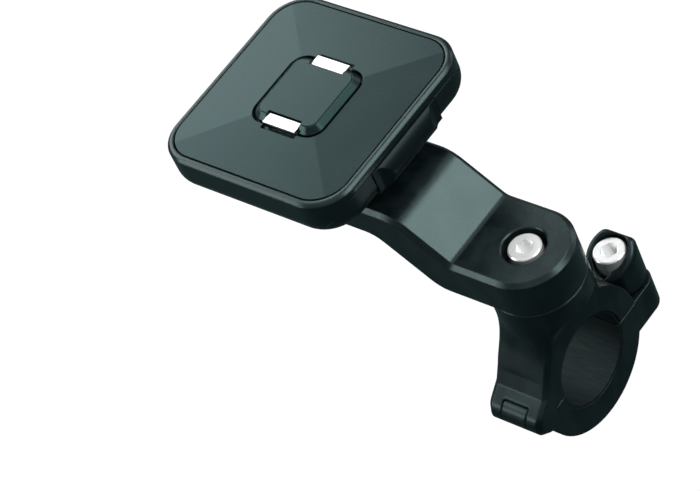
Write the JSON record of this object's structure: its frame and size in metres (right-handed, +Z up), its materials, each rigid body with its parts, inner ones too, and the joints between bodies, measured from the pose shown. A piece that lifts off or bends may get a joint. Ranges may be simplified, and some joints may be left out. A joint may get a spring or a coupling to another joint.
{
  "type": "bike phone mount",
  "caption": "Phone mount for a round bar: hinged screw clamp, cranked swivel arm and a square head with a sprung lock post and release button.",
  "frame": {"origin": "middle of the bar bore, on its axis", "axes": "+X along the bar bore, +Z up along the swivel bolt, +Y away from the jaws' hinge"},
  "size_m": [0.1032, 0.0622, 0.0995],
  "materials": {
    "anodised_jaw": "satin black anodised",
    "anodised_arm": "satin black anodised",
    "liner_rubber": "matt",
    "frame_plastic": "satin",
    "shell_plastic": "fine satin",
    "panel_gloss": "gloss",
    "post_plastic": "satin",
    "button_plastic": "fine satin",
    "inner_plastic": "plain moulded",
    "disc_nylon": "plain",
    "latch_steel": "bright",
    "screw_steel": "bright",
    "washer_black": "black oxide"
  },
  "bodies": {
    "base": {"upper_jaw": "anodised_jaw", "upper_liner": "liner_rubber", "hinge_pin": "screw_steel", "clamp_screw": "screw_steel", "clamp_washer": "washer_black", "friction_disc": "disc_nylon", "swivel_bolt": "screw_steel", "swivel_washer": "washer_black", "swivel_nut": "screw_steel"},
    "lower_clamp": {"lower_jaw": "anodised_jaw", "lower_liner": "liner_rubber", "clamp_nut": "screw_steel"},
    "head_arm": {"arm": "anodised_arm", "neck_screws": "screw_steel", "rear_shell": "shell_plastic", "head_frame": "frame_plastic", "face_panel": "panel_gloss", "lock_post": "post_plastic", "post_screws": "screw_steel", "shell_screws": "screw_steel", "return_spring": "screw_steel"},
    "release": {"release_button": "button_plastic", "release_slide": "inner_plastic"},
    "front_latch": {"latch_front": "latch_steel"},
    "rear_latch": {"latch_rear": "latch_steel"}
  },
  "joints": [
    {"name": "arm_swivel", "type": "hinge", "parent": "base", "child": "head_arm", "pos_m": [0, 0.001, 0.0304], "axis": [0, 0, 1], "continuous": true},
    {"name": "clamp_hinge", "type": "hinge", "parent": "base", "child": "lower_clamp", "pos_m": [0, -0.0211, -0.0011], "axis": [-1, 0, 0], "range_deg": [0, 75]},
    {"name": "release_press", "type": "slide", "parent": "head_arm", "child": "release", "axis": [-1, 0, 0], "range_m": [0, 0.0024], "stiffness_N_per_m": 800, "springref_m": -0.001, "deforming": ["return_spring"]},
    {"name": "front_latch_slide", "type": "slide", "parent": "head_arm", "child": "front_latch", "axis": [0, 1, 0], "range_m": [0, 0.0009]},
    {"name": "rear_latch_slide", "type": "slide", "parent": "head_arm", "child": "rear_latch", "axis": [0, -1, 0], "range_m": [0, 0.0009]}
  ],
  "couplings": [
    {"joint": "front_latch_slide", "follows": "release_press", "ratio": 0.375},
    {"joint": "rear_latch_slide", "follows": "release_press", "ratio": 0.375}
  ]
}
